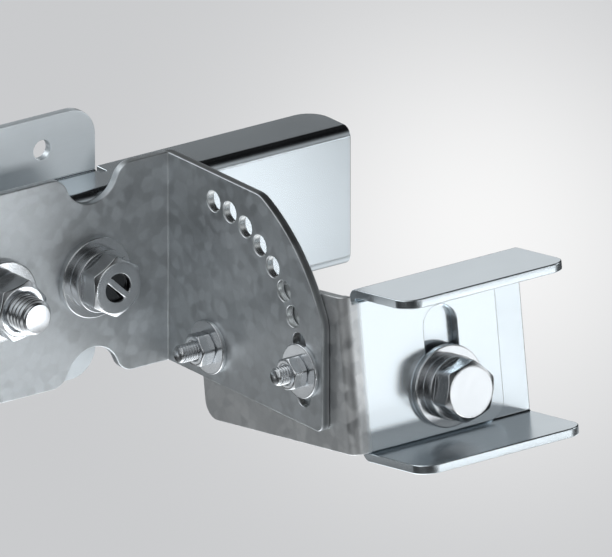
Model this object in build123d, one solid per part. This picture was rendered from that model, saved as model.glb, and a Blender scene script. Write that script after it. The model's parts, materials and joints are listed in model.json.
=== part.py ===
from build123d import *
import math
import os

# Adjustable wall bracket for a solar panel, in millimetres.
# A hat-section wall bracket carries a quadrant plate with a row of index holes.
# A tilt bracket turns behind the quadrant on a pivot bolt and is held by a lock bolt
# that passes through one index hole and a curved slot. Its tab carries an open
# clip for the panel frame.
#
# Frame: the origin is on the wall, at the centre of the four screw holes.
# +X runs along the wall, -Y points out of the wall and +Z points up.

# Sheet metal
sheet = 3.0
bend_inner = 0.6
bend_middle = bend_inner + sheet / 2
bend_outer = bend_inner + sheet

# Wall bracket: a channel with two brims that lie on the wall
wall_pitch_x = 70.0
wall_pitch_z = 70.0
wall_hole_d = 6.6
brim_end_margin = 21.0
brim_edge_margin = 11.0
brim_corner_r = 10.0
channel_height = 47.4
channel_depth = 20.0
channel_overhang = 75.0
channel_corner_r = 8.0
relief_width = 2.5

# Large bolts, M12: hexagon, head, nut, washers
large_d = 12.0
large_flats = 18.0
large_head = 7.5
large_nut = 10.8
large_washer_d = 27.0
large_washer_t = 2.5
large_spring_d = 21.0
large_spring_t = 4.0
large_length = 30.0
fold_clamp_length = 28.0
large_hole_clearance = 0.5
dish_d = 10.0
dish_depth = 1.8
dish_bar_width = 1.9
dish_bar_turn = -73.0

# Small bolts, M6: hexagon, head, nut, washers
small_d = 6.0
small_flats = 10.0
small_head = 4.0
small_nut = 5.2
small_washer_d = 18.0
small_washer_t = 1.6
pivot_length = 21.0
lock_length = 19.0
index_clearance = 0.5
pivot_clearance = 0.08

# What every bolt and washer has
thread_clearance = 0.05
washer_clearance = 0.4
washer_edge = 0.35
head_face_ratio = 0.94
chamfer_angle = 30.0
thread_end_chamfer_ratio = 0.11
spring_split = 2.2
spring_split_lean = 20.0
seat_gap = 0.2

# Clamp bolts through the quadrant bracket and the channel's web, a little below its middle
fold_clamp_x = 40.2
clamp_spacing = 37.0
clamp_drop = 3.0

# Quadrant bracket: a clamp plate folded to a quadrant with index holes
clamp_end_margin = 24.0
clamp_to_fold = 30.0
clamp_corner_r = 7.0
notch_r = 10.5
notch_rise = 35.0
notch_corner_r = 6.5
pivot_out = 22.6
pivot_above_edge = 11.5
rim_margin = 15.0
rim_trim = 5.0
rim_top_r = 8.0
rim_front_r = 12.0
rim_foot_r = 3.0
index_r = 50.0
index_count = 10
index_pitch = 10.0
index_first = 2.0
index_top_margin = 9.5
lock_index = 9

# Tilt bracket, in its own frame: out from the pivot and up from its middle line
arm_back = 10.2
arm_reach = 70.5
arm_half_height = 26.0
arm_corner_r = 6.0
slot_half_angle = 13.5
tab_width = 59.8
tab_top = 23.4
tab_bottom = -26.0
tab_corner_r = 6.0
tab_slot_top = 16.0
tab_slot_bottom = -21.0

# Frame clip: an open channel behind the tab, held by the clip bolt
clip_inset = 3.5
clip_length = 64.7
clip_mouth = 50.9
clip_bottom = -29.8
clip_top_flange = 31.2
clip_bottom_flange = 33.0
clip_corner_r = 6.5
clip_bolt_inset = 37.3
clip_bolt_rise = -10.5

# Hexagon turns, as the nuts were left after tightening
fold_clamp_turn = 30.0
end_clamp_turn = 12.0
clip_turn = 16.0
pivot_turn = 8.0
lock_turn = 20.0

# Places worked out from the sizes above
brim_half_length = wall_pitch_x / 2 + brim_end_margin
brim_half_height = wall_pitch_z / 2 + brim_edge_margin
end_clamp_x = fold_clamp_x - clamp_spacing
fold_x = fold_clamp_x + clamp_to_fold
channel_end = fold_x + channel_overhang
web_front = -channel_depth
web_back = web_front + sheet
plate_front = web_front - sheet
plate_left = end_clamp_x - clamp_end_margin
plate_half_height = (pivot_above_edge + index_r + index_top_margin) / 2
rim_r = index_r + rim_margin
front_reach = rim_r - rim_trim
pivot_y = plate_front - pivot_out
pivot_rise = pivot_above_edge - plate_half_height
pivot_z = pivot_rise - clamp_drop
quadrant_back = fold_x + sheet
arm_left = quadrant_back + seat_gap
arm_right = arm_left + sheet
arm_washer = arm_right + seat_gap
lock_angle = 90.0 - index_first - index_pitch * (lock_index - 1)
tilt_angle = lock_angle
tab_front = arm_reach
tab_back = arm_reach - sheet
tab_right = arm_left + tab_width
clip_front = tab_back
clip_back = clip_front - sheet
clip_left = arm_right + bend_inner + clip_inset
clip_right = clip_left + clip_length
clip_top = clip_bottom + clip_mouth + 2 * sheet
clip_bolt_x = arm_left + clip_bolt_inset
large_hole_d = large_d + 2 * large_hole_clearance
index_hole_d = small_d + 2 * index_clearance
pivot_hole_d = small_d + 2 * pivot_clearance
beyond = 2 * sheet

# Where the tilt bracket's own frame lies: out along -Y, tilted up at the front
arm_place = Pos(0, pivot_y, pivot_z) * Rot(X=-tilt_angle)


def strip(points):
    """Section of a folded sheet along its middle line, with round folds."""
    middle = FilletPolyline(*points, radius=bend_middle)
    return trace(middle.edges(), line_width=sheet)


def drill(diameter, x, y, z, axis, length=20.0):
    """Round cutter of one diameter, centred on a point, along an axis."""
    return Plane(origin=(x, y, z), z_dir=axis) * Cylinder(diameter / 2, length)


def corners(solid, axis, test):
    """Edges of a solid along one axis whose middle passes a test."""
    return [edge for edge in solid.edges().filter_by(axis) if test(edge.center())]


def near(value, target):
    """Whether two places are the same, within a hundredth."""
    return abs(value - target) < 0.01


# Wall bracket
def make_wall_bracket():
    middle_y = -sheet / 2
    middle_z = channel_height / 2 - sheet / 2
    web_y = web_front + sheet / 2
    hat = [
        (middle_y, brim_half_height),
        (middle_y, middle_z),
        (web_y, middle_z),
        (web_y, -middle_z),
        (middle_y, -middle_z),
        (middle_y, -brim_half_height),
    ]
    channel = [(0, middle_z), (web_y, middle_z), (web_y, -middle_z), (0, -middle_z)]
    hat_start = Pos(X=-brim_half_length)
    body = hat_start * extrude(Plane.YZ * strip(hat), 2 * brim_half_length)
    reach = channel_end - brim_half_length
    body += Pos(X=brim_half_length) * extrude(Plane.YZ * strip(channel), reach)

    def at_brim_corner(point):
        at_edge = near(abs(point.Z), brim_half_height)
        return at_edge and near(abs(point.X), brim_half_length)

    def at_channel_corner(point):
        return near(point.X, channel_end) and near(point.Y, 0)

    body = fillet(corners(body, Axis.Y, at_brim_corner), brim_corner_r)
    body = fillet(corners(body, Axis.Z, at_channel_corner), channel_corner_r)
    relief_depth = bend_outer + relief_width / 2
    relief_height = channel_height + beyond
    relief = Pos(Y=-relief_depth / 2) * Box(relief_width, relief_depth, relief_height)
    relief += Pos(Y=-relief_depth) * Cylinder(relief_width / 2, relief_height)
    body -= Pos(X=brim_half_length + relief_width / 2) * relief
    for x in (-wall_pitch_x / 2, wall_pitch_x / 2):
        for z in (-wall_pitch_z / 2, wall_pitch_z / 2):
            body -= drill(wall_hole_d, x, middle_y, z, (0, 1, 0))
    for x in (fold_clamp_x, end_clamp_x):
        body -= drill(large_hole_d, x, web_y, -clamp_drop, (0, 1, 0))
    return body


# Quadrant bracket, built about its own middle line
def clamp_outline():
    """Clamp plate seen from the front: notched over the wall screws."""
    length = quadrant_back + beyond - plate_left
    plate = Pos(plate_left + length / 2, 0) * Rectangle(length, 2 * plate_half_height)
    for z in (-notch_rise, notch_rise):
        plate -= Pos(fold_clamp_x, z) * Circle(notch_r)
    edge = plate_half_height
    tips = [
        point
        for point in plate.vertices()
        if near(abs(point.Y), edge) and plate_left + 1 < point.X < quadrant_back
    ]
    plate = fillet(tips, notch_corner_r)
    ends = [point for point in plate.vertices() if near(point.X, plate_left)]
    return fillet(ends, clamp_corner_r)


def round_corner(face, pick, reach, radius):
    """Round the highest or lowest corner on the quadrant's front edge."""
    ends = [point for point in face.vertices() if near(point.X, reach)]
    return fillet([pick(ends, key=lambda point: point.Y)], radius)


def quadrant_outline():
    """Quadrant seen from its side: out from the plate's front, and up."""
    height = 2 * plate_half_height
    back_length = pivot_out + beyond
    back = Pos(pivot_out - back_length / 2, 0) * Rectangle(back_length, height)
    front = Pos(pivot_out + front_reach / 2, 0) * Rectangle(front_reach, height)
    front &= Pos(pivot_out, pivot_rise) * Circle(rim_r)
    face = back + front
    face = round_corner(face, max, pivot_out + front_reach, rim_front_r)
    face = round_corner(face, min, pivot_out + front_reach, rim_foot_r)
    top = [
        point
        for point in face.vertices()
        if near(point.Y, plate_half_height) and point.X > pivot_out + 1
    ]
    return fillet(top, rim_top_r)


def index_places():
    """Index holes: out and up from the pivot, counted from the top."""
    places = []
    for step in range(index_count):
        angle = math.radians(90.0 - index_first - index_pitch * step)
        places.append((index_r * math.cos(angle), index_r * math.sin(angle)))
    return places


def make_quadrant_bracket():
    middle_y = plate_front + sheet / 2
    middle_x = fold_x + sheet / 2
    front_y = pivot_y - front_reach
    fold = [(plate_left, middle_y), (middle_x, middle_y), (middle_x, front_y)]
    height = 2 * plate_half_height
    blank = Pos(Z=-plate_half_height) * extrude(strip(fold), height)
    depth = bend_outer + beyond
    clamp = Plane(origin=(0, web_front + sheet, 0), x_dir=(1, 0, 0), z_dir=(0, -1, 0))
    clamp_mask = clamp * extrude(clamp_outline(), depth)
    side = Plane(origin=(fold_x - depth, plate_front, 0), x_dir=(0, -1, 0), z_dir=(-1, 0, 0))
    side_mask = side * extrude(quadrant_outline(), -2 * depth)
    body = blank & (clamp_mask + side_mask)
    for x in (fold_clamp_x, end_clamp_x):
        body -= drill(large_hole_d, x, middle_y, 0, (0, 1, 0))
    body -= drill(pivot_hole_d, middle_x, pivot_y, pivot_rise, (1, 0, 0))
    for out, up in index_places():
        body -= drill(index_hole_d, middle_x, pivot_y - out, pivot_rise + up, (1, 0, 0))
    return body


# Tilt bracket, built level with its pivot at the origin
def curved_slot():
    """Curved slot about the pivot, as wide as an index hole."""
    half = slot_half_angle
    band = CenterArc((0, 0), index_r, -half, 2 * half)
    slot = trace(band, line_width=index_hole_d)
    for angle in (-half, half):
        turn = math.radians(angle)
        slot += Pos(index_r * math.cos(turn), index_r * math.sin(turn)) * Circle(index_hole_d / 2)
    return slot


def tab_slot():
    """Upright slot in the tab for the clip bolt, as wide as a large hole."""
    height = tab_slot_top - tab_slot_bottom
    middle = (tab_slot_top + tab_slot_bottom) / 2
    return Pos(clip_bolt_x, middle) * SlotOverall(height, large_hole_d, rotation=90)


def make_tilt_bracket():
    middle_x = arm_left + sheet / 2
    middle_out = tab_front - sheet / 2
    fold = [(middle_x, arm_back), (middle_x, -middle_out), (tab_right, -middle_out)]
    height = 2 * arm_half_height
    blank = Pos(Z=-arm_half_height) * extrude(strip(fold), height)
    fold_end = arm_right + bend_inner
    wall_length = arm_back + arm_reach + beyond
    wall = Pos(wall_length / 2 - arm_back, 0) * Rectangle(wall_length, height)
    rear = [point for point in wall.vertices() if near(point.X, -arm_back)]
    wall = fillet(rear, arm_corner_r) - curved_slot() - Circle(pivot_hole_d / 2)
    side = Plane(origin=(fold_end, 0, 0), x_dir=(0, -1, 0), z_dir=(-1, 0, 0))
    wall_mask = side * extrude(wall, fold_end - arm_left + beyond)
    tab_length = tab_right - arm_left - bend_outer
    tab_middle = (tab_top + tab_bottom) / 2
    tab = Pos(tab_right - tab_length / 2, tab_middle)
    tab *= Rectangle(tab_length, tab_top - tab_bottom)
    outer = [point for point in tab.vertices() if near(point.X, tab_right)]
    tab = fillet(outer, tab_corner_r) - tab_slot()
    face = Plane(origin=(0, beyond - tab_back, 0), x_dir=(1, 0, 0), z_dir=(0, -1, 0))
    tab_mask = face * extrude(tab, sheet + 2 * beyond)
    return blank & (wall_mask + tab_mask)


# Frame clip, built level with the pivot at the origin
def make_frame_clip():
    web = -(clip_back + sheet / 2)
    low = clip_bottom + sheet / 2
    high = clip_top - sheet / 2
    low_tip = -(clip_back + clip_bottom_flange)
    high_tip = -(clip_back + clip_top_flange)
    section = [(low_tip, low), (web, low), (web, high), (high_tip, high)]
    body = Pos(X=clip_left) * extrude(Plane.YZ * strip(section), clip_length)

    def at_tip(point):
        at_end = near(point.X, clip_left) or near(point.X, clip_right)
        return at_end and (near(point.Y, low_tip) or near(point.Y, high_tip))

    body = fillet(corners(body, Axis.Z, at_tip), clip_corner_r)
    return body - drill(large_hole_d, clip_bolt_x, web, clip_bolt_rise, (0, 1, 0))


# Bolts, nuts and washers, each built upright from its seat at the origin
def hex_block(flats, height, both_ends):
    """Hexagon with its corners turned off on the top, or on both ends."""
    corner = flats / math.sqrt(3) + 1
    face = head_face_ratio * flats / 2
    drop = (corner - face) * math.tan(math.radians(chamfer_angle))
    foot = [(0, 0), (face, 0), (corner, drop)] if both_ends else [(0, 0), (corner, 0)]
    outline = foot + [(corner, height - drop), (face, height), (0, height)]
    turned = revolve(Plane.XZ * make_face(Polyline(*outline, close=True)), Axis.Z)
    return extrude(RegularPolygon(flats / 2, 6, major_radius=False), height) & turned


def make_bolt(diameter, flats, head, length, dished=False):
    """Bolt with its head above the seat and its shank below."""
    end = thread_end_chamfer_ratio * diameter
    shank = Pos(Z=-length / 2) * Cylinder(diameter / 2, length)
    shank = chamfer(shank.edges().sort_by(Axis.Z)[0], end)
    block = hex_block(flats, head, both_ends=False)
    if dished:
        dish = Cylinder(dish_d / 2, 2 * dish_depth)
        dish -= Rot(Z=dish_bar_turn) * Box(dish_d + 1, dish_bar_width, 2 * dish_depth)
        block -= Pos(Z=head) * dish
    return block + shank


def make_nut(diameter, flats, height):
    """Nut above its seat, with a plain bore that just clears the bolt."""
    bore = Cylinder(diameter / 2 + thread_clearance, 3 * height)
    return hex_block(flats, height, both_ends=True) - bore


def make_washer(diameter, outer, thickness):
    """Flat washer above its seat, with its outer edges broken."""
    disc = Pos(Z=thickness / 2) * Cylinder(outer / 2, thickness)
    disc = chamfer(disc.edges(), washer_edge)
    return disc - Cylinder(diameter / 2 + washer_clearance, 3 * thickness)


def make_spring_washer(diameter, outer, thickness):
    """Split washer above its seat, with a leaning cut."""
    ring = Pos(Z=thickness / 2) * Cylinder(outer / 2, thickness)
    ring -= Cylinder(diameter / 2 + washer_clearance, 3 * thickness)
    cut = Rot(X=spring_split_lean) * Box(outer, spring_split, 4 * thickness)
    return ring - Pos(outer / 2, 0, thickness / 2) * cut


def facing(x, y, z, out, turn=0.0):
    """Seat at a point, with its axis pointing out and a turn about it."""
    return Plane(origin=(x, y, z), x_dir=seat_x(out), z_dir=out).location * Rot(Z=turn)


def seat_x(out):
    """Across direction of a seat: level, square to its axis."""
    return (1, 0, 0) if out[0] == 0 else (0, 1, 0)


def large_set(name, x, front, back, z, turn, length, dished):
    """Large bolt from the front: bolt, washers and the nut behind."""
    out = (0, -1, 0)
    inward = (0, 1, 0)
    spring_seat = front - large_washer_t
    head_seat = spring_seat - large_spring_t
    washer = make_washer(large_d, large_washer_d, large_washer_t)
    bolt = make_bolt(large_d, large_flats, large_head, length, dished)
    nut = make_nut(large_d, large_flats, large_nut)
    ring = make_spring_washer(large_d, large_spring_d, large_spring_t)
    return {
        name + "_bolt": facing(x, head_seat, z, out, turn) * bolt,
        name + "_spring_washer": facing(x, spring_seat, z, out, turn) * ring,
        name + "_front_washer": facing(x, front, z, out) * washer,
        name + "_back_washer": facing(x, back, z, inward) * washer,
        name + "_nut": facing(x, back + large_washer_t, z, inward, turn) * nut,
    }


def end_clamp_set():
    """Large bolt from inside the channel, with its nut on the front."""
    out = (0, -1, 0)
    inward = (0, 1, 0)
    washer = make_washer(large_d, large_washer_d, large_washer_t)
    bolt = make_bolt(large_d, large_flats, large_head, large_length)
    nut = make_nut(large_d, large_flats, large_nut)
    head_seat = web_back + large_washer_t
    nut_seat = plate_front - large_washer_t
    x = end_clamp_x
    z = -clamp_drop
    turn = end_clamp_turn
    return {
        "end_clamp_bolt": facing(x, head_seat, z, inward, turn) * bolt,
        "end_clamp_front_washer": facing(x, plate_front, z, out) * washer,
        "end_clamp_back_washer": facing(x, web_back, z, inward) * washer,
        "end_clamp_nut": facing(x, nut_seat, z, out, turn) * nut,
    }


def small_set(name, y, z, length, turn):
    """Small bolt from behind the tilt bracket, with its nut on the quadrant."""
    out = (-1, 0, 0)
    inward = (1, 0, 0)
    washer = make_washer(small_d, small_washer_d, small_washer_t)
    bolt = make_bolt(small_d, small_flats, small_head, length)
    nut = make_nut(small_d, small_flats, small_nut)
    head_seat = arm_washer + small_washer_t
    return {
        name + "_bolt": facing(head_seat, y, z, inward, turn) * bolt,
        name + "_front_washer": facing(fold_x, y, z, out) * washer,
        name + "_back_washer": facing(arm_washer, y, z, inward) * washer,
        name + "_nut": facing(fold_x - small_washer_t, y, z, out, turn) * nut,
    }


# The whole bracket
def make_pieces():
    pieces = {
        "wall_bracket": make_wall_bracket(),
        "quadrant_bracket": Pos(Z=-clamp_drop) * make_quadrant_bracket(),
        "tilt_bracket": arm_place * make_tilt_bracket(),
        "frame_clip": arm_place * make_frame_clip(),
    }
    fold_clamp_set = large_set(
        "fold_clamp",
        fold_clamp_x,
        plate_front,
        web_back,
        -clamp_drop,
        fold_clamp_turn,
        fold_clamp_length,
        dished=True,
    )
    pieces.update(fold_clamp_set)
    pieces.update(end_clamp_set())
    lock_out, lock_up = index_places()[lock_index - 1]
    pieces.update(small_set("pivot", pivot_y, pivot_z, pivot_length, pivot_turn))
    pieces.update(
        small_set("lock", pivot_y - lock_out, pivot_z + lock_up, lock_length, lock_turn)
    )
    clip_set = large_set(
        "clip",
        clip_bolt_x,
        -tab_front,
        -clip_back,
        clip_bolt_rise,
        clip_turn,
        large_length,
        dished=False,
    )
    for name, piece in clip_set.items():
        pieces[name] = arm_place * piece
    return pieces


os.makedirs("parts", exist_ok=True)
for name, piece in make_pieces().items():
    export_step(piece, f"parts/{name}.step")
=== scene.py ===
import json
import math

import bmesh
import bpy
import numpy as np
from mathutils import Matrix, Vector

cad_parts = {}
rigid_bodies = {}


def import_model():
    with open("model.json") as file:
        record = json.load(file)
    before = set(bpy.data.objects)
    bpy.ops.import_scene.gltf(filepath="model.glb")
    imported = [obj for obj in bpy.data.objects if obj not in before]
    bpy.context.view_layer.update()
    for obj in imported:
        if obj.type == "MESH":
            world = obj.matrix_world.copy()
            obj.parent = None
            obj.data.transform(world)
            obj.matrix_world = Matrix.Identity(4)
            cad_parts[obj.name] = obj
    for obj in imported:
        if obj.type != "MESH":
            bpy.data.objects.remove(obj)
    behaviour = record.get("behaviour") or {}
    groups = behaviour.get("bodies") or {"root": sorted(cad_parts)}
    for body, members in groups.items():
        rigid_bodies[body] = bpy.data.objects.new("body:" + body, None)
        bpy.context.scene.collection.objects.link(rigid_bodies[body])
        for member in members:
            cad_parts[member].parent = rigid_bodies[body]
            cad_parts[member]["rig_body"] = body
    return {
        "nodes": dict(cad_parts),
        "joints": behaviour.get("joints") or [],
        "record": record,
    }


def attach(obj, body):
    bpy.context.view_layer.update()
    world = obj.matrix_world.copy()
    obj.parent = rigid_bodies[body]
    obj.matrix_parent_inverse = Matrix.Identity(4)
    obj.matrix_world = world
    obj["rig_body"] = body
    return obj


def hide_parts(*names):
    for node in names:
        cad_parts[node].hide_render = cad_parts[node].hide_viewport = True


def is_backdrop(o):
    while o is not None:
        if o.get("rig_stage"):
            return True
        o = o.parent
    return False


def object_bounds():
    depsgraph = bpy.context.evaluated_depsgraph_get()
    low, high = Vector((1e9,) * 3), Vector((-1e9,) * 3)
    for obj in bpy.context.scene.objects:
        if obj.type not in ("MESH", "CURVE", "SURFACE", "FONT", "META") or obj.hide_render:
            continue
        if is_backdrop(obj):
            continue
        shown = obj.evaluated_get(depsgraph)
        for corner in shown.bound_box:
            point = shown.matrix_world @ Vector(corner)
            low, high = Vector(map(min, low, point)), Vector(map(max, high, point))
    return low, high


bl_info = {
    "name": "Solar panel bracket",
    "version": (1, 0, 0),
    "blender": (4, 5, 0),
    "location": "3D View > Sidebar > Bracket",
    "description": "Dresses a tilting solar panel bracket around its packed frame",
    "category": "Object",
}

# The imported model, which every piece below is measured from
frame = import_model()
nodes = frame["nodes"]
record = frame["record"]
cad_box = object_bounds()

# Units and directions
MM = 0.001
FRONT = (0, -1, 0)
BACK = (0, 1, 0)
RIGHT = (1, 0, 0)
UP = (0, 0, 1)

# Points closer than the first length are merged, and no side counts as shorter than the second
MERGE = 2e-6
SHORTEST_SIDE = 1e-9


# Sizes and colours that a user would change
def length(name, description, default):
    """A settable length, given in millimetres and kept in metres."""
    return bpy.props.FloatProperty(
        name=name, description=description, default=default * MM, unit="LENGTH", precision=5
    )


def angle(name, description, default):
    """A settable angle, given in degrees and kept in radians."""
    return bpy.props.FloatProperty(
        name=name, description=description, default=math.radians(default), subtype="ANGLE"
    )


def paint(name, description, default):
    """A settable colour."""
    return bpy.props.FloatVectorProperty(
        name=name, description=description, default=default, size=3, min=0, max=1, subtype="COLOR"
    )


def share(name, description, default):
    """A settable number between 0 and 1."""
    return bpy.props.FloatProperty(
        name=name, description=description, default=default, min=0, max=1, subtype="FACTOR"
    )


class SheetSettings(bpy.types.PropertyGroup):
    """Folded sheets."""

    edge: length("Edge round", "Round on every cut edge of a sheet", 0.4)
    bright: paint("Bright zinc", "Colour of the smooth sheets and of the arm's tab", (0.79, 0.85, 0.89))
    arm: paint("Arm zinc", "Colour of the arm's mottled wall", (0.74, 0.77, 0.79))
    mottled: paint("Mottled zinc", "Colour of the mottled quadrant", (0.65, 0.68, 0.70))
    spangle: length("Spangle", "Width of one zinc crystal", 3.6)
    bright_rough: share("Bright roughness", "Roughness of the smooth sheets", 0.22)
    mottled_rough: share("Mottled roughness", "Roughness of the mottled sheets", 0.42)


class FastenerSettings(bpy.types.PropertyGroup):
    """Bolts, nuts and washers."""

    edge: length("Edge round", "Round on the edges of heads and nuts", 0.22)
    washer_edge: length("Washer edge", "Round on the rim of a flat washer", 0.45)
    large_pitch: length("Large pitch", "Pitch of the large threads", 1.75)
    small_pitch: length("Small pitch", "Pitch of the small threads", 1.0)
    zinc: paint("Zinc plate", "Colour of the plated fasteners", (0.78, 0.80, 0.82))
    rough: share("Roughness", "Roughness of the plated fasteners", 0.2)


class StudioSettings(bpy.types.PropertyGroup):
    """Camera, floor and light."""

    azimuth: angle("Azimuth", "Where the camera stands, from the front to the right", -36.5)
    elevation: angle("Elevation", "How far the camera looks down", 20.6)
    view_width: length("View width", "Width that the picture shows at the object", 195.84)
    lens: bpy.props.FloatProperty(
        name="Lens", description="Focal length in millimetres", default=1500, min=20, max=5000
    )
    floor_drop: length("Floor drop", "How far the floor lies under the wall holes' centre", 200)
    pale: paint("Pale floor", "Colour of the floor away from the glow", (0.61, 0.617, 0.63))
    glow: paint("Glow", "Colour of the floor in the glow behind the object", (0.98, 0.98, 0.98))


# Sizes of the two kinds of fastener. Dull is how much darker and rougher than bright zinc they are
# drawn
LARGE = {"diameter": 12 * MM, "flats": 18 * MM, "head": 7.5 * MM, "columns": 96, "dull": 0.0}
SMALL = {"diameter": 6 * MM, "flats": 10 * MM, "head": 4 * MM, "columns": 72, "dull": 0.15}

# Each set of a bolt with its nut and washers: where the bolt's head faces, and its sizes
SETS = {
    "fold_clamp": (FRONT, LARGE),
    "end_clamp": (BACK, LARGE),
    "clip": (FRONT, LARGE),
    "pivot": (RIGHT, SMALL),
    "lock": (RIGHT, SMALL),
}

# Sets with a spring washer, and where its cut stands about the axis (degrees)
SPRING_TURNS = {"fold_clamp": 30, "clip": 16}

# Dish in one bolt's head, and the bar across it, with the runs of the dish's wall and bar's sides
DISHED = "fold_clamp"
RECESS = {
    "deep": 1.8 * MM,
    "wide": 5.0 * MM,
    "wall_run": 0.5 * MM,
    "bar": 0.95 * MM,
    "bar_run": 0.35 * MM,
    "bar_turn": math.radians(-43),
}


# Level frames: the arm is built level about its pivot, and the rest stands level already
def level_frames():
    """Turn and origin of each body's level frame, from the panel face's axis and the hinge."""
    panel = next(mount for mount in record["mounts"] if mount["name"] == "panel_face")
    lean, rise = panel["axis"][1:]
    turn = np.array([[1, 0, 0], [0, rise, lean], [0, -lean, rise]])
    hinge = frame["joints"][0]["pos_m"]
    return {
        "wall_side": (np.eye(3), np.zeros(3)),
        "tilt_side": (turn, np.array([0, hinge[1], hinge[2]])),
    }


LEVEL = level_frames()


def read_points(node):
    """Points of a CAD node, in metres."""
    mesh = nodes[node].data
    flat = np.empty(3 * len(mesh.vertices), np.float32)
    mesh.vertices.foreach_get("co", flat)
    return flat.reshape(-1, 3).astype(float)


class Seat:
    """Axis of a fastener. Its frame has z outwards along the axis, and x and y across it."""

    def __init__(self, bolt, out):
        self.turn, self.origin = LEVEL[nodes[bolt]["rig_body"]]
        self.axes = np.column_stack([np.cross(UP, out), UP, out])
        self.centre = np.zeros(3)
        low, high = self.reach(bolt)
        self.centre = (low + high) / 2 * [1, 1, 0]

    def local(self, node):
        """Points of a CAD node in this seat's frame."""
        level = (read_points(node) - self.origin) @ self.turn
        return level @ self.axes - self.centre

    def reach(self, node):
        """Lowest and highest corner of a CAD node in this seat's frame."""
        points = self.local(node)
        return points.min(0), points.max(0)

    def span(self, node):
        """Greatest radius, lowest end and highest end of a CAD node about the axis."""
        points = self.local(node)
        return np.hypot(points[:, 0], points[:, 1]).max(), points[:, 2].min(), points[:, 2].max()

    def corner(self, node):
        """Angle about the axis of a node's outermost point, which is a hexagon's corner."""
        points = self.local(node)
        far = points[np.hypot(points[:, 0], points[:, 1]).argmax()]
        return math.atan2(far[1], far[0])

    def place(self, points):
        """Points from this seat's frame to the row frame."""
        level = (points + self.centre) @ self.axes.T
        return level @ self.turn.T + self.origin


# Surfaces
def grid_faces(rows, columns, close_rows=False, close_columns=True):
    """Four-cornered faces of a grid, which closes across its columns or along its rows as asked."""
    last_row = rows if close_rows else rows - 1
    last_column = columns if close_columns else columns - 1
    row, column = np.meshgrid(np.arange(last_row), np.arange(last_column), indexing="ij")
    next_row = (row + 1) % rows
    next_column = (column + 1) % columns
    corners = [
        row * columns + column,
        row * columns + next_column,
        next_row * columns + next_column,
        next_row * columns + column,
    ]
    return np.stack(corners, axis=-1).reshape(-1, 4).tolist()


# Greatest share of a side that one rounded corner takes
CORNER_SHARE = 0.45


def soften(profile, size, closed=False, steps=4):
    """Rounds the corners of a profile.

    Each corner P becomes the curve (1-t)^2 A + 2 t (1-t) P + t^2 B, where A and B lie on the
    two sides at the given size from P, or at the corner's share of a side that is too short.
    """
    t = np.linspace(0, 1, steps)[:, None, None]
    before = np.roll(profile, 1, axis=0)
    after = np.roll(profile, -1, axis=0)
    rows = []
    for index in range(len(profile)):
        point = profile[index][None]
        if not closed and index in (0, len(profile) - 1):
            rows.append(point)
            continue
        ends = []
        for side in (before, after):
            run = side[index] - profile[index]
            long = np.maximum(np.linalg.norm(run, axis=-1, keepdims=True), SHORTEST_SIDE)
            ends.append(profile[index] + run * np.minimum(size / long, CORNER_SHARE))
        rows.append((1 - t) ** 2 * ends[0][None] + 2 * t * (1 - t) * point + t**2 * ends[1][None])
    return np.concatenate(rows)


def stack(*corners):
    """Profile corners (radius, height), each a number or a row over the turn, as one array."""
    wide = max(np.size(value) for corner in corners for value in corner)
    flat = [np.broadcast_to(np.asarray(value, float), wide) for corner in corners for value in corner]
    return np.stack(flat).reshape(len(corners), 2, wide).transpose(0, 2, 1)


def turned(profile, turns):
    """Points x = r cos a, y = r sin a, z = h of a profile (r, h) over the turns a."""
    radius, height = profile[..., 0], profile[..., 1] + 0 * turns
    places = [radius * np.cos(turns), radius * np.sin(turns), height]
    return np.stack(places, axis=-1).reshape(-1, 3)


def full_turn(columns):
    """Even angles once round."""
    return np.arange(columns) * 2 * math.pi / columns


def hexagon(turns, flats, corner, sharpness=44):
    """Radius of a hexagon with small round corners.

    r = (flats/2) / (sum of max(0, cos(a - a_k))^p)^(1/p) over its six sides k.
    """
    sides = corner + math.pi / 6 + np.arange(6) * math.pi / 3
    facing = np.maximum(np.cos(turns[None] - sides[:, None]), 0)
    return flats / 2 / (facing**sharpness).sum(0) ** (1 / sharpness)


def smooth_step(value):
    """3 v^2 - 2 v^3 for v kept within 0 and 1."""
    kept = np.clip(value, 0, 1)
    return kept * kept * (3 - 2 * kept)


# Pieces
def add_piece(name, node, points, faces, finish):
    """New closed piece in a CAD node's place, with its body and finish."""
    mesh = bpy.data.meshes.new(name)
    mesh.from_pydata(points.tolist(), [], faces)
    flatten_shading(finish_piece(name, node, mesh, finish))


def finish_piece(name, node, mesh, finish):
    """Merges a mesh's doubles, turns its faces outwards, and puts it in a CAD node's place."""
    work = bmesh.new()
    work.from_mesh(mesh)
    bmesh.ops.remove_doubles(work, verts=work.verts, dist=MERGE)
    bmesh.ops.dissolve_degenerate(work, edges=work.edges, dist=MERGE / 2)
    bmesh.ops.recalc_face_normals(work, faces=work.faces)
    work.to_mesh(mesh)
    work.free()
    mesh.shade_smooth()
    piece = bpy.data.objects.new(name, mesh)
    bpy.context.scene.collection.objects.link(piece)
    mesh.materials.clear()
    mesh.materials.append(finish["material"])
    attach(piece, nodes[node]["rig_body"])
    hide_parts(node)
    return piece


def flatten_shading(piece):
    """Keeps broad faces flat, so that only the rounds between them shade smoothly."""
    weighted = piece.modifiers.new("flat_faces", "WEIGHTED_NORMAL")
    weighted.weight = 50
    weighted.keep_sharp = False


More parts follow.
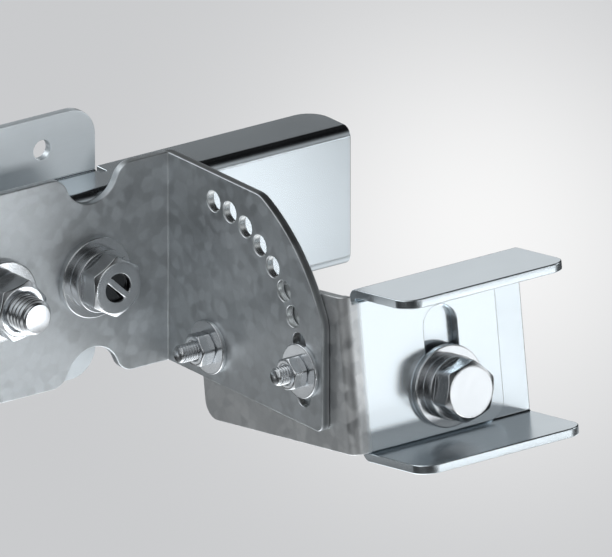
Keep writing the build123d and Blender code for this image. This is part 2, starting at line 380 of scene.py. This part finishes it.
def dress_sheet(node, finish, edge):
    """Copy of a folded sheet with every cut edge rounded."""
    mesh = nodes[node].data.copy()
    work = bmesh.new()
    work.from_mesh(mesh)
    bmesh.ops.remove_doubles(work, verts=work.verts, dist=MERGE)
    flat_within = math.radians(1)
    bmesh.ops.dissolve_limit(work, angle_limit=flat_within, verts=work.verts, edges=work.edges)
    work.to_mesh(mesh)
    work.free()
    piece = finish_piece(node + "_sheet", node, mesh, finish)
    bevel = piece.modifiers.new("cut_edge", "BEVEL")
    bevel.width = edge
    bevel.segments = 3
    bevel.limit_method = "ANGLE"
    bevel.angle_limit = math.radians(40)
    bevel.use_clamp_overlap = False
    flatten_shading(piece)


# A thread's rows of points for each turn, its depth as a share of the pitch, where its flank
# starts in the wave and how far it runs, and the end's cone as a share of the diameter
THREAD_ROWS = 12
THREAD_DEPTH = 0.61
FLANK_START = 0.2
FLANK_RUN = 0.65
END_CONE = 0.11


def thread_rows(turns, diameter, pitch, reach):
    """Thread down to z = -reach, as (radius, height) rows.

    With w = |2 frac(z/pitch + a/2pi) - 1| at height z and turn a, the depth is full in the root,
    nothing on the crest and a straight flank between them. A cone cuts off the end.
    """
    rows = int(reach / pitch * THREAD_ROWS)
    height = -np.linspace(0, reach, rows)[:, None] + 0 * turns
    wave = np.abs(2 * ((height / pitch + turns / (2 * math.pi)) % 1) - 1)
    crest = np.clip((wave - FLANK_START) / FLANK_RUN, 0, 1)
    radius = diameter / 2 - THREAD_DEPTH * pitch * (1 - crest)
    cone = diameter / 2 - END_CONE * diameter + (height + reach)
    return np.stack([np.minimum(radius, cone), height], axis=-1)


def dish(radius, turns, deep, wide, wall_run, bar, bar_run, bar_turn):
    """Height of a round dish that a bar crosses, at points (radius, turn) of a head's top.

    It falls by a smooth step at the dish's wall and rises by another at the bar's sides.
    """
    across = np.abs(radius * np.sin(turns - bar_turn))
    wall = smooth_step((wide - radius) / wall_run)
    side = smooth_step((across - bar) / bar_run)
    return -deep * wall * side


# Radius of a hexagon's flat face as a share of the width across its flats, and the chamfer's angle
CHAMFER_CIRCLE = 0.47
CHAMFER = math.radians(30)


def chamfered(node, seat, flats, turns):
    """Radius of a hexagon's sides, radius of its flat face and the chamfer's fall at each turn."""
    side = hexagon(turns, flats, seat.corner(node))
    face = CHAMFER_CIRCLE * flats
    return side, face, (side - face) * math.tan(CHAMFER)


# A head's small chamfer underneath, the fillet beside its shank, and the rows of points from
# its middle to the given share of its flat face
HEAD_FOOT = 0.12 * MM
SHANK_FILLET = 0.4 * MM
CAP_ROWS = 72
CAP_SHARE = 0.9


def make_bolt(node, seat, sizes, finish, settings, recess=None):
    """Bolt: a closed grid from the head's middle, over its chamfer and down the thread's helix."""
    turns = full_turn(sizes["columns"])
    _, end, top = seat.span(node)
    head, shank = sizes["head"], sizes["diameter"] / 2
    side, face, drop = chamfered(node, seat, sizes["flats"], turns)
    corners = stack(
        (CAP_SHARE * face, head),
        (face, head),
        (side, head - drop),
        (side, HEAD_FOOT),
        (side - HEAD_FOOT, 0),
        (shank + SHANK_FILLET, 0),
        (shank, 0),
    )
    outer = soften(corners, settings.edge)
    inner = np.linspace(0, CAP_SHARE * face, CAP_ROWS)[:-1, None] + 0 * turns
    lift = dish(inner, turns[None], **recess) if recess else 0 * inner
    cap = np.stack([inner, head + lift], axis=-1)
    thread = thread_rows(turns, sizes["diameter"], sizes["pitch"], top - head - end)
    tip = thread[-1:] * [0, 1]
    profile = np.concatenate([cap, outer, thread, tip])
    points = turned(profile, turns) + [0, 0, top - head]
    faces = grid_faces(len(profile), len(turns))
    add_piece(node + "_threaded", node, seat.place(points), faces, finish)


# Play between a nut and its bolt, and the depth of its bore's chamfer as a share of the diameter
NUT_PLAY = 0.05 * MM
BORE_CHAMFER = 0.06


def make_nut(node, seat, sizes, finish, settings):
    """Nut: a closed profile from its bore over both chamfered faces, carried once round."""
    turns = full_turn(sizes["columns"])
    _, low, high = seat.span(node)
    thick = high - low
    side, face, drop = chamfered(node, seat, sizes["flats"], turns)
    bore = sizes["diameter"] / 2 + NUT_PLAY
    sink = BORE_CHAMFER * sizes["diameter"]
    corners = stack(
        (bore, sink),
        (bore, thick - sink),
        (bore + sink, thick),
        (face, thick),
        (side, thick - drop),
        (side, drop),
        (face, 0),
        (bore + sink, 0),
    )
    profile = soften(corners, settings.edge, closed=True)
    points = turned(profile, turns) + [0, 0, low]
    faces = grid_faces(len(profile), len(turns), close_rows=True)
    add_piece(node + "_chamfered", node, seat.place(points), faces, finish)


# Play between a washer and its bolt, and the columns of points round a flat washer
WASHER_PLAY = 0.4 * MM
WASHER_COLUMNS = 96


def washer_section(node, seat, sizes):
    """Corners of a washer's section: low and high at its bore, then high and low at its rim."""
    outer, low, high = seat.span(node)
    bore = sizes["diameter"] / 2 + WASHER_PLAY
    return stack((bore, low), (bore, high), (outer, high), (outer, low))


def make_washer(node, seat, sizes, finish, settings):
    """Flat washer: a slab's section with a rolled rim, carried once round the axis."""
    turns = full_turn(WASHER_COLUMNS)
    profile = soften(washer_section(node, seat, sizes), settings.washer_edge, closed=True, steps=5)
    faces = grid_faces(len(profile), len(turns), close_rows=True)
    add_piece(node + "_rolled", node, seat.place(turned(profile, turns)), faces, finish)


# A spring washer's cut: width, lean from the axis, and the columns of points from side to side.
# Its edges are rounder than a head's by the last factor
CUT_WIDTH = 2.2 * MM
CUT_LEAN = math.radians(20)
SPRING_COLUMNS = 97
SPRING_ROUND = 1.4


def make_spring_washer(node, seat, sizes, finish, settings, turn):
    """Split washer: a rounded section carried from one side of a leaning cut to the other.

    At radius r and height z the cut's sides stand at a = asin((z lean -+ width/2) / r).
    """
    corners = washer_section(node, seat, sizes)
    section = soften(corners, SPRING_ROUND * settings.edge, closed=True)[:, 0]
    radius, height = section[:, 0:1], section[:, 1:2]
    _, low, high = seat.span(node)
    lean = (height - (low + high) / 2) * math.tan(CUT_LEAN)
    start = np.arcsin((lean + CUT_WIDTH / 2) / radius)
    stop = 2 * math.pi + np.arcsin((lean - CUT_WIDTH / 2) / radius)
    turns = turn + start + (stop - start) * np.linspace(0, 1, SPRING_COLUMNS)
    places = [radius * np.cos(turns), radius * np.sin(turns), height + 0 * turns]
    points = np.stack(places, axis=-1).reshape(-1, 3)
    rows, columns = turns.shape
    count = rows * columns
    sides = grid_faces(rows, columns, close_rows=True, close_columns=False)
    ends = [list(range(0, count, columns)), list(range(columns - 1, count, columns))]
    add_piece(node + "_split", node, seat.place(points), sides + ends, finish)


# Shader nodes written as expressions
class Wire:
    """An output socket. Sums, products and powers with it add Math nodes to its tree."""

    def __init__(self, bench, socket):
        self.bench = bench
        self.socket = socket

    def math(self, operation, *others):
        """Math node on this value and the others."""
        values = dict(enumerate((self,) + others))
        return self.bench.add("ShaderNodeMath", {"operation": operation}, values)

    def __add__(self, other):
        return self.math("ADD", other)

    __radd__ = __add__

    def __mul__(self, other):
        return self.math("MULTIPLY", other)

    __rmul__ = __mul__

    def __sub__(self, other):
        return self.math("SUBTRACT", other)

    def __rsub__(self, other):
        return self * -1 + other

    def __pow__(self, other):
        return self.math("POWER", other)

    def clamp(self):
        """The value kept within 0 and 1."""
        return self.bench.add("ShaderNodeClamp", {}, {0: self})

    def past(self, edge, slope):
        """0 up to an edge, and from there a rise at the given slope to 1."""
        return ((self - edge) * slope).clamp()


class Bench:
    """Adds nodes to one tree and joins them."""

    def __init__(self, tree):
        self.tree = tree
        tree.nodes.clear()

    def add(self, kind, settings=None, inputs=None, output=0):
        """Adds one node: settings first, then its sockets' values or wires."""
        node = self.tree.nodes.new(kind)
        for name, value in (settings or {}).items():
            setattr(node, name, value)
        for name, value in (inputs or {}).items():
            if isinstance(value, Wire):
                self.tree.links.new(value.socket, node.inputs[name])
            else:
                node.inputs[name].default_value = value
        return Wire(self, node.outputs[output]) if node.outputs else None

    def place(self):
        """Place of the shaded point on its object."""
        return self.add("ShaderNodeTexCoord", output="Object")

    def mix(self, factor, low, high):
        """Blend of two colours, which go in at the node's sockets 6 and 7 and out at 2."""
        return self.add("ShaderNodeMix", {"data_type": "RGBA"}, {0: factor, 6: low, 7: high}, 2)

    def mix_shaders(self, factor, low, high):
        """Blend of two shaders."""
        return self.add("ShaderNodeMixShader", {}, {0: factor, 1: low, 2: high})

    def scaled(self, vector, scale, shift):
        """A vector times a scale, plus a shift."""
        settings = {"operation": "MULTIPLY_ADD"}
        return self.add("ShaderNodeVectorMath", settings, {0: vector, 1: scale, 2: shift})

    def dot(self, one, other):
        """Dot product of two vectors."""
        settings = {"operation": "DOT_PRODUCT"}
        return self.add("ShaderNodeVectorMath", settings, {0: one, 1: other}, "Value")

    def noise(self, where, scale, detail, rough=0.5, output=0):
        """Noise texture, with its scale per metre."""
        inputs = {"Vector": where, "Scale": scale, "Detail": detail, "Roughness": rough}
        return self.add("ShaderNodeTexNoise", {}, inputs, output)

    def metal(self, colour, rough, height, metal, strength, depth):
        """Metal shader, with its surface bumped by a height at the given strength and depth."""
        relief = {"Strength": strength, "Distance": depth, "Height": height}
        bump = self.add("ShaderNodeBump", {}, relief)
        inputs = {"Base Color": colour, "Metallic": metal, "Roughness": rough, "Normal": bump}
        return self.add("ShaderNodeBsdfPrincipled", {}, inputs)

    def output(self, shader, kind="ShaderNodeOutputMaterial"):
        """Ends the tree in one shader."""
        self.add(kind, {}, {"Surface": shader})


def solid(colour, factor=1.0):
    """Colour with its alpha, made lighter or darker by a factor."""
    return tuple(min(1.0, value * factor) for value in colour) + (1.0,)


def new_material(name):
    """New material and the bench for its tree."""
    material = bpy.data.materials.new(name)
    material.use_nodes = True
    return material, Bench(material.node_tree)


def weigh(patterns, shares, level=0.0):
    """Sum of the patterns that have a share, each times its share, and a level."""
    total = level
    for pattern, part in zip(patterns, shares):
        if part:
            total += pattern * part
    return total


# Finishes

# The quadrant's sheet, the radii about the pivot from which its index holes and its rim lie,
# and the slope of their masks
SHEET = 3 * MM
HOLES_FROM = 44 * MM
RIM_FROM = 57 * MM
ROUND_SLOPE = 3e4

# Where the arm's sheet turns to the front, along X, and how far its finish takes to change
ARM_TURNS = 78.5 * MM
TAB_FADE = 2 * MM

# Mottled sheets: shares of their crystals, clouds and grain in their tone, roughness and height,
# and how far the crystals' outlines wander and melt together
MOTTLE_TONE = (0.55, 0.6, 0.16)
MOTTLE_ROUGH = (0.16, 0.14, 0)
MOTTLE_HEIGHT = (0.5, 0, 0.35)
CRYSTAL_DRIFT = 2.4 * MM
CRYSTAL_MELT = 0.55

# Mottled sheets: tones as factors of their colour, that of the hole walls a painted highlight,
# the hole walls' roughness, and how much of its relief the arm's tab loses
DARK_MOTTLE = 0.62
PALE_MOTTLE = 1.34
RIM_TONE = 0.42
HOLE_HIGHLIGHT = 1.5
HOLE_ROUGH = 0.2
TAB_CALM = 0.8


def cut_faces(bench, where):
    """Masks of the quadrant's cut faces: its outer rim, and the walls of its index holes."""
    right = read_points("quadrant_bracket")[:, 0].max()
    _, pivot = LEVEL[nodes["tilt_bracket"]["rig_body"]]
    across = bench.dot(where, RIGHT) - (right - SHEET / 2)
    within = (1 - across**2 * (1 / (SHEET / 2) ** 2)).clamp()
    out = bench.dot(where, BACK) - pivot[1]
    up = bench.dot(where, UP) - pivot[2]
    far = out**2 + up**2
    rim = far.past(RIM_FROM**2, ROUND_SLOPE)
    bored = far.past(HOLES_FROM**2, ROUND_SLOPE) * (1 - rim)
    return within * rim, within * bored


def mottled_zinc(settings, name, base, slot, smooth_from=None):
    """Matt galvanised sheet: soft zinc crystals, each with its own tone and roughness.

    The quadrant's rim is darker, and its holes' walls are smoother and carry a painted highlight.
    Right of smooth_from, where it is given, the sheet is as smooth and bright as the other sheets.
    """
    material, bench = new_material(name)
    where = bench.place()
    drift = bench.noise(where, scale=120.0, detail=3.0, output="Color")
    bent = bench.scaled(drift, (CRYSTAL_DRIFT,) * 3, where)
    crystal = bench.add(
        "ShaderNodeTexVoronoi",
        {"feature": "SMOOTH_F1"},
        {"Vector": bent, "Scale": 1 / settings.spangle, "Smoothness": CRYSTAL_MELT},
        "Color",
    )
    cloud = bench.noise(where, scale=55.0, detail=4.0, rough=0.6)
    grain = bench.noise(where, scale=1500.0, detail=3.0, rough=0.6)
    patterns = (crystal, cloud, grain)
    mask = weigh(patterns, MOTTLE_TONE, level=-0.2).clamp()
    rough = weigh(patterns, MOTTLE_ROUGH, level=settings.mottled_rough - 0.15)
    height = weigh(patterns, MOTTLE_HEIGHT)
    colour = bench.mix(mask, solid(base, DARK_MOTTLE), solid(base, PALE_MOTTLE))
    rim, bored = cut_faces(bench, where)
    colour = bench.mix(rim, colour, solid(base, RIM_TONE))
    # Painted highlight: the index holes' walls are painted brighter than the sheet around them
    colour = bench.mix(bored, colour, solid(base, HOLE_HIGHLIGHT))
    rough = rough + bored * (HOLE_ROUGH - rough)
    if smooth_from is not None:
        smooth = bench.dot(where, RIGHT).past(smooth_from, 1 / TAB_FADE)
        colour = bench.mix(smooth, colour, solid(settings.bright))
        rough = rough + smooth * (settings.bright_rough - rough)
        height = height * (1 - smooth * TAB_CALM)
    bench.output(bench.metal(colour, rough, height, metal=0.93, strength=0.25, depth=0.05 * MM))
    return {"material": material, "slot": slot}


# The wall bracket's brims: how far from the wall and from what height over the channel's middle
# their mask reaches, its slopes there, and how matt they are
BRIM_REACH = 4.5 * MM
BRIM_FOOT = 24.2 * MM
REACH_SLOPE = 4000
FOOT_SLOPE = 1e5
BRIM_MATT = 0.65

# Smooth sheets: the scale that stretches their lines along X, shares of their clouds, lines and
# flecks in their tone, roughness and height, and their darkest and palest tone
ROLLING = (0.06, 1.0, 1.0)
BRIGHT_TONE = (0.6, 0.22, 0.1)
BRIGHT_ROUGH = (0.1, 0.05, 0)
BRIGHT_HEIGHT = (0.4, 0.3, 0)
DARK_BRIGHT = 0.86
PALE_BRIGHT = 1.1


def brims(bench, where):
    """1 on the wall bracket's two brims, which lie on the wall above and below its channel."""
    flat = bench.dot(where, BACK).past(-BRIM_REACH, REACH_SLOPE)
    return flat * (bench.dot(where, UP) ** 2).past(BRIM_FOOT**2, FOOT_SLOPE)


def bright_zinc(settings):
    """Smooth galvanised sheet: faint rolling lines and clouds under a soft gloss, matt brims."""
    material, bench = new_material("bright_galvanised_sheet")
    where = bench.place()
    rolled = bench.add("ShaderNodeMapping", {}, {"Vector": where, "Scale": ROLLING})
    lines = bench.noise(rolled, scale=1400.0, detail=3.0, rough=0.6)
    cloud = bench.noise(where, scale=42.0, detail=4.0, rough=0.55)
    fleck = bench.noise(where, scale=420.0, detail=3.0, rough=0.6)
    patterns = (cloud, lines, fleck)
    mask = weigh(patterns, BRIGHT_TONE, level=0.04).clamp()
    rough = weigh(patterns, BRIGHT_ROUGH, level=settings.bright_rough - 0.07)
    height = weigh(patterns, BRIGHT_HEIGHT)
    colour = bench.mix(mask, solid(settings.bright, DARK_BRIGHT), solid(settings.bright, PALE_BRIGHT))
    metal = 1 - BRIM_MATT * brims(bench, where)
    bench.output(bench.metal(colour, rough, height, metal, strength=0.02, depth=0.03 * MM))
    return {"material": material, "slot": "bright_sheet"}


# Plated fasteners: shares of their clouds and grain in their tone, roughness and height, and
# their darkest and palest tone
PLATE_TONE = (0.8, 0.3)
PLATE_ROUGH = (0.12, 0.06)
PLATE_HEIGHT = (1, 0.5)
DARK_PLATE = 0.78
PALE_PLATE = 1.12

# Painted shade in a head's dish: how far past its wall it reaches, the depth from which it
# darkens and over which it does so, the slope of its outline's mask, and its tone
SHADE_PAST = 0.1 * MM
SHADE_FROM = 0.6 * MM
SHADE_RUN = 0.4 * MM
SHADE_SLOPE = 3e5
DISH_SHADE_TONE = 0.12

# What a fastener that is fully dull loses in tone and gains in roughness
DULL_SHADE = 0.4
DULL_ROUGH = 0.2


def dish_shade_mask(bench, where, top):
    """Mask of painted shade: 1 deep within the dish of the head whose top's middle is given, else 0."""
    radius = RECESS["wide"] + SHADE_PAST
    across = bench.dot(where, RIGHT) - top[0]
    up = bench.dot(where, UP) - top[2]
    near = (radius**2 - across**2 - up**2).past(0, SHADE_SLOPE)
    return bench.dot(where, BACK).past(top[1] + SHADE_FROM, 1 / SHADE_RUN) * near


def plated_zinc(settings, dull, top=None):
    """Zinc plated steel: bright, with fine grain and duller patches, and painted shade in a head's
    dish.
    """
    material, bench = new_material("zinc_plated_fastener")
    where = bench.place()
    cloud = bench.noise(where, scale=260.0, detail=3.0, rough=0.6)
    grain = bench.noise(where, scale=2400.0, detail=2.0)
    patterns = (cloud, grain)
    mask = weigh(patterns, PLATE_TONE, level=-0.05).clamp()
    rough = weigh(patterns, PLATE_ROUGH, level=settings.rough - 0.08 + DULL_ROUGH * dull)
    height = weigh(patterns, PLATE_HEIGHT)
    shade = 1 - DULL_SHADE * dull
    dark, pale = DARK_PLATE * shade, PALE_PLATE * shade
    colour = bench.mix(mask, solid(settings.zinc, dark), solid(settings.zinc, pale))
    if top is not None:
        # Painted shade: the dish's floor is painted near black, standing in for the shade in the recess
        colour = bench.mix(dish_shade_mask(bench, where, top), colour, solid(settings.zinc, DISH_SHADE_TONE))
    bench.output(bench.metal(colour, rough, height, metal=1.0, strength=0.15, depth=0.02 * MM))
    return {"material": material, "slot": "zinc_hardware"}


# Studio

# Soft patches of light in the room that the metal mirrors: azimuth, elevation, spread (degrees)
# and strength
PATCHES = (
    (146, 5, 12, 0.8),
    (170, 7, 14, 2.0),
    (10, 7, 14, 1.4),
    (70, 7, 14, 2.4),
    (42, 18, 14, 0.4),
    (-50, 42, 20, 0.6),
    (-80, 7, 14, 1.2),
    (-100, 32, 18, 1.2),
    (-150, 32, 18, 2.5),
    (-135, 62, 22, 1.2),
)
ROOM_LEVEL = 0.0

# Pools of light on the floor that the metal mirrors: x, y, radius (mm) and strength
POOLS = (
    (300, -560, 80, 10),
    (375, -450, 75, 1.8),
    (440, -570, 90, 1.5),
    (60, -480, 150, 0.6),
    (950, -1330, 380, 3.3),
    (-150, -330, 130, 0.8),
    (-240, 320, 90, 1.3),
    (420, -60, 180, 1.3),
    (60, -60, 120, 3.0),
)
FLOOR_LEVEL = 0.05

# Lamps: name, azimuth, elevation (degrees), distance, width, height (metres) and power (watts)
LAMPS = (
    ("front_left_lamp", -20, 5, 1.2, 0.6, 0.25, 7),
)

# Colour of all light that the metal mirrors
COOL_WHITE = (0.95, 0.98, 1, 1)

# The floor's radius (metres), its corners, its colour where it takes light, and the share of its
# plain colour that the camera sees, with the object's shadow in the rest
FLOOR_RADIUS = 4
FLOOR_CORNERS = 64
MATT_GREY = (0.7, 0.7, 0.7, 1)
PLAIN_SHARE = 0.92

# The glow behind the object: how far right of the picture's middle and above it, and its spread
GLOW_RIGHT = 60 * MM
GLOW_UP = 16 * MM
GLOW_SPREAD = 78 * MM

# The camera's aim, its sensor's width (millimetres) and how far it sees (metres)
AIM = Vector((104.1, -51.2, -9.7)) * MM
SENSOR = 36
SIGHT = 100


def toward(azimuth, elevation):
    """Unit direction from the object: azimuth from the front (-Y) to the right, and up."""
    level = math.cos(elevation)
    return Vector(
        (math.sin(azimuth) * level, -math.cos(azimuth) * level, math.sin(elevation))
    )


def stand(holder, out, distance):
    """Puts a camera or a lamp at a distance from the aim, facing it."""
    holder.location = AIM + out * distance
    holder.rotation_euler = out.to_track_quat("Z", "Y").to_euler()
    bpy.context.scene.collection.objects.link(holder)


def patch_light(bench, direction):
    """Light from a direction: the room's level and exp((d.c - 1) 2 / spread^2) for each patch."""
    total = ROOM_LEVEL
    for azimuth, elevation, spread, strength in PATCHES:
        centre = toward(math.radians(azimuth), math.radians(elevation))
        sharp = 2 / math.radians(spread) ** 2
        total += ((bench.dot(direction, tuple(centre)) - 1) * sharp).math("EXPONENT") * strength
    return total


def pool_light(bench, where):
    """Light of a floor point: the floor's level and exp(-(distance / radius)^2) for each pool."""
    total = FLOOR_LEVEL
    for x, y, radius, strength in POOLS:
        scale = (1 / (radius * MM),) * 2 + (0,)
        offset = bench.scaled(where, scale, (-x / radius, -y / radius, 0))
        total += (bench.dot(offset, offset) * -1).math("EXPONENT") * strength
    return total


def make_world(settings):
    """World: pale for the camera, and soft patches of light for the metal."""
    world = bpy.data.worlds.new("studio_room")
    world.use_nodes = True
    bpy.context.scene.world = world
    bench = Bench(world.node_tree)
    light = patch_light(bench, bench.add("ShaderNodeTexCoord", output="Generated"))
    room = bench.add("ShaderNodeBackground", {}, {"Color": COOL_WHITE, "Strength": light})
    pale = bench.add("ShaderNodeBackground", {}, {"Color": solid(settings.pale), "Strength": 1.0})
    camera_ray = bench.add("ShaderNodeLightPath", output="Is Camera Ray")
    bench.output(bench.mix_shaders(camera_ray, room, pale), "ShaderNodeOutputWorld")


def glow_mask(bench, where, settings):
    """1 in the middle of the glow, and exp(-(distance / spread)^2) away from it in the picture."""
    right = Vector((math.cos(settings.azimuth), math.sin(settings.azimuth), 0))
    ahead = Vector((-math.sin(settings.azimuth), math.cos(settings.azimuth), 0))
    tall = math.sin(settings.elevation)
    drop = settings.floor_drop + AIM.z
    glow_ahead = (GLOW_UP + drop * math.cos(settings.elevation)) / tall
    across = bench.dot(where, tuple(right)) - (AIM.dot(right) + GLOW_RIGHT)
    along = (bench.dot(where, tuple(ahead)) - (AIM.dot(ahead) + glow_ahead)) * tall
    return ((across**2 + along**2) * (-1 / GLOW_SPREAD**2)).math("EXPONENT")


def make_floor(settings):
    """Pale floor under the object, with a glow behind it as seen from the camera."""
    mesh = bpy.data.meshes.new("floor")
    turns = full_turn(FLOOR_CORNERS)
    places = [FLOOR_RADIUS * np.cos(turns), FLOOR_RADIUS * np.sin(turns), 0 * turns]
    mesh.from_pydata(np.stack(places, axis=-1).tolist(), [], [list(range(FLOOR_CORNERS))])
    floor = bpy.data.objects.new("floor", mesh)
    floor.location.z = -settings.floor_drop
    bpy.context.scene.collection.objects.link(floor)
    material, bench = new_material("pale_floor")
    mesh.materials.append(material)
    where = bench.place()
    near = glow_mask(bench, where, settings)
    seen = bench.mix(near, solid(settings.pale), solid(settings.glow))
    plain = bench.add("ShaderNodeEmission", {}, {"Color": seen, "Strength": 1.0})
    pools = {"Color": COOL_WHITE, "Strength": pool_light(bench, where)}
    mirrored = bench.add("ShaderNodeEmission", {}, pools)
    matt = bench.add("ShaderNodeBsdfDiffuse", {}, {"Color": MATT_GREY})
    camera_ray = bench.add("ShaderNodeLightPath", output="Is Camera Ray")
    glossy_ray = bench.add("ShaderNodeLightPath", output="Is Glossy Ray")
    lit = bench.mix_shaders(glossy_ray, matt, mirrored)
    bench.output(bench.mix_shaders(camera_ray * PLAIN_SHARE, lit, plain))
    floor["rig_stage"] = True


def make_lamps():
    """Soft lamps that face the object and aren't seen themselves."""
    for name, azimuth, elevation, distance, wide, tall, power in LAMPS:
        lamp = bpy.data.lights.new(name, "AREA")
        lamp.shape = "RECTANGLE"
        lamp.size = wide
        lamp.size_y = tall
        lamp.energy = power
        holder = bpy.data.objects.new(name, lamp)
        holder.visible_camera = False
        holder.visible_glossy = False
        stand(holder, toward(math.radians(azimuth), math.radians(elevation)), distance)


def make_camera(settings):
    """Long lens at the photograph's angle."""
    data = bpy.data.cameras.new("camera")
    data.lens = settings.lens
    data.sensor_width = SENSOR
    data.clip_end = SIGHT
    holder = bpy.data.objects.new("camera", data)
    distance = settings.view_width * settings.lens / SENSOR
    stand(holder, toward(settings.azimuth, settings.elevation), distance)
    bpy.context.scene.camera = holder


# Operators
def settings_of(context):
    """The three groups of settings."""
    scene = context.scene
    return scene.bracket_sheets, scene.bracket_fasteners, scene.bracket_studio


def fastener_sets(settings):
    """Each set's name, its seat and its sizes with the pitch."""
    pitches = {id(LARGE): settings.large_pitch, id(SMALL): settings.small_pitch}
    for name, (out, sizes) in SETS.items():
        yield name, Seat(name + "_bolt", out), {**sizes, "pitch": pitches[id(sizes)]}


class BRACKET_OT_studio(bpy.types.Operator):
    """Set up the camera, the floor and the light"""

    bl_idname = "bracket.studio"
    bl_label = "Studio"

    def execute(self, context):
        _, _, settings = settings_of(context)
        make_camera(settings)
        make_floor(settings)
        make_world(settings)
        make_lamps()
        context.scene.view_settings.view_transform = "Standard"
        return {"FINISHED"}


class BRACKET_OT_sheets(bpy.types.Operator):
    """Dress the four folded sheets"""

    bl_idname = "bracket.sheets"
    bl_label = "Folded sheets"

    def execute(self, context):
        settings, _, _ = settings_of(context)
        bright = bright_zinc(settings)
        for node in ("wall_bracket", "frame_clip"):
            dress_sheet(node, bright, settings.edge)
        arm = mottled_zinc(settings, "arm_sheet", settings.arm, "bright_sheet", ARM_TURNS)
        dress_sheet("tilt_bracket", arm, settings.edge)
        quadrant = mottled_zinc(settings, "quadrant_sheet", settings.mottled, "mottled_sheet")
        dress_sheet("quadrant_bracket", quadrant, settings.edge)
        return {"FINISHED"}


class BRACKET_OT_bolts(bpy.types.Operator):
    """Make the five bolts with their threads"""

    bl_idname = "bracket.bolts"
    bl_label = "Bolts"

    def execute(self, context):
        _, settings, _ = settings_of(context)
        for name, seat, sizes in fastener_sets(settings):
            node = name + "_bolt"
            recess = RECESS if name == DISHED else None
            top = seat.place(np.array([[0, 0, seat.span(node)[2]]]))[0] if recess else None
            finish = plated_zinc(settings, sizes["dull"], top)
            make_bolt(node, seat, sizes, finish, settings, recess)
        return {"FINISHED"}


class BRACKET_OT_nuts(bpy.types.Operator):
    """Make the five nuts"""

    bl_idname = "bracket.nuts"
    bl_label = "Nuts"

    def execute(self, context):
        _, settings, _ = settings_of(context)
        for name, seat, sizes in fastener_sets(settings):
            finish = plated_zinc(settings, sizes["dull"])
            make_nut(name + "_nut", seat, sizes, finish, settings)
        return {"FINISHED"}


class BRACKET_OT_washers(bpy.types.Operator):
    """Make the flat washers and the spring washers"""

    bl_idname = "bracket.washers"
    bl_label = "Washers"

    def execute(self, context):
        _, settings, _ = settings_of(context)
        for name, seat, sizes in fastener_sets(settings):
            finish = plated_zinc(settings, sizes["dull"])
            for place in ("_front_washer", "_back_washer"):
                make_washer(name + place, seat, sizes, finish, settings)
            if name in SPRING_TURNS:
                turn = math.radians(SPRING_TURNS[name])
                make_spring_washer(name + "_spring_washer", seat, sizes, finish, settings, turn)
        return {"FINISHED"}


class BRACKET_PT_panel(bpy.types.Panel):
    """Everything that builds the bracket"""

    bl_label = "Solar panel bracket"
    bl_space_type = "VIEW_3D"
    bl_region_type = "UI"
    bl_category = "Bracket"

    def draw(self, context):
        for settings in settings_of(context):
            box = self.layout.box()
            for name in settings.__annotations__:
                box.prop(settings, name)
        for operator in OPERATORS:
            self.layout.operator(operator.bl_idname)


OPERATORS = (
    BRACKET_OT_studio,
    BRACKET_OT_sheets,
    BRACKET_OT_bolts,
    BRACKET_OT_nuts,
    BRACKET_OT_washers,
)
GROUPS = {
    "bracket_sheets": SheetSettings,
    "bracket_fasteners": FastenerSettings,
    "bracket_studio": StudioSettings,
}


def register():
    """Registers the settings, the operators and the panel."""
    for group in GROUPS.values():
        bpy.utils.register_class(group)
    for operator in OPERATORS:
        bpy.utils.register_class(operator)
    bpy.utils.register_class(BRACKET_PT_panel)
    for name, group in GROUPS.items():
        setattr(bpy.types.Scene, name, bpy.props.PointerProperty(type=group))


def unregister():
    """Takes everything out again, last first."""
    for name in GROUPS:
        delattr(bpy.types.Scene, name)
    bpy.utils.unregister_class(BRACKET_PT_panel)
    for operator in reversed(OPERATORS):
        bpy.utils.unregister_class(operator)
    for group in reversed(tuple(GROUPS.values())):
        bpy.utils.unregister_class(group)


def plain(box):
    """A box's two corners as plain lists."""
    return [[round(float(value), 6) for value in corner] for corner in box]


def main():
    """Builds the stage and every piece."""
    register()
    bpy.ops.bracket.studio()
    bpy.ops.bracket.sheets()
    bpy.ops.bracket.bolts()
    bpy.ops.bracket.nuts()
    bpy.ops.bracket.washers()
    {"cad": plain(cad_box), "visual": plain(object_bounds())}


if __name__ == "__main__":
    main()
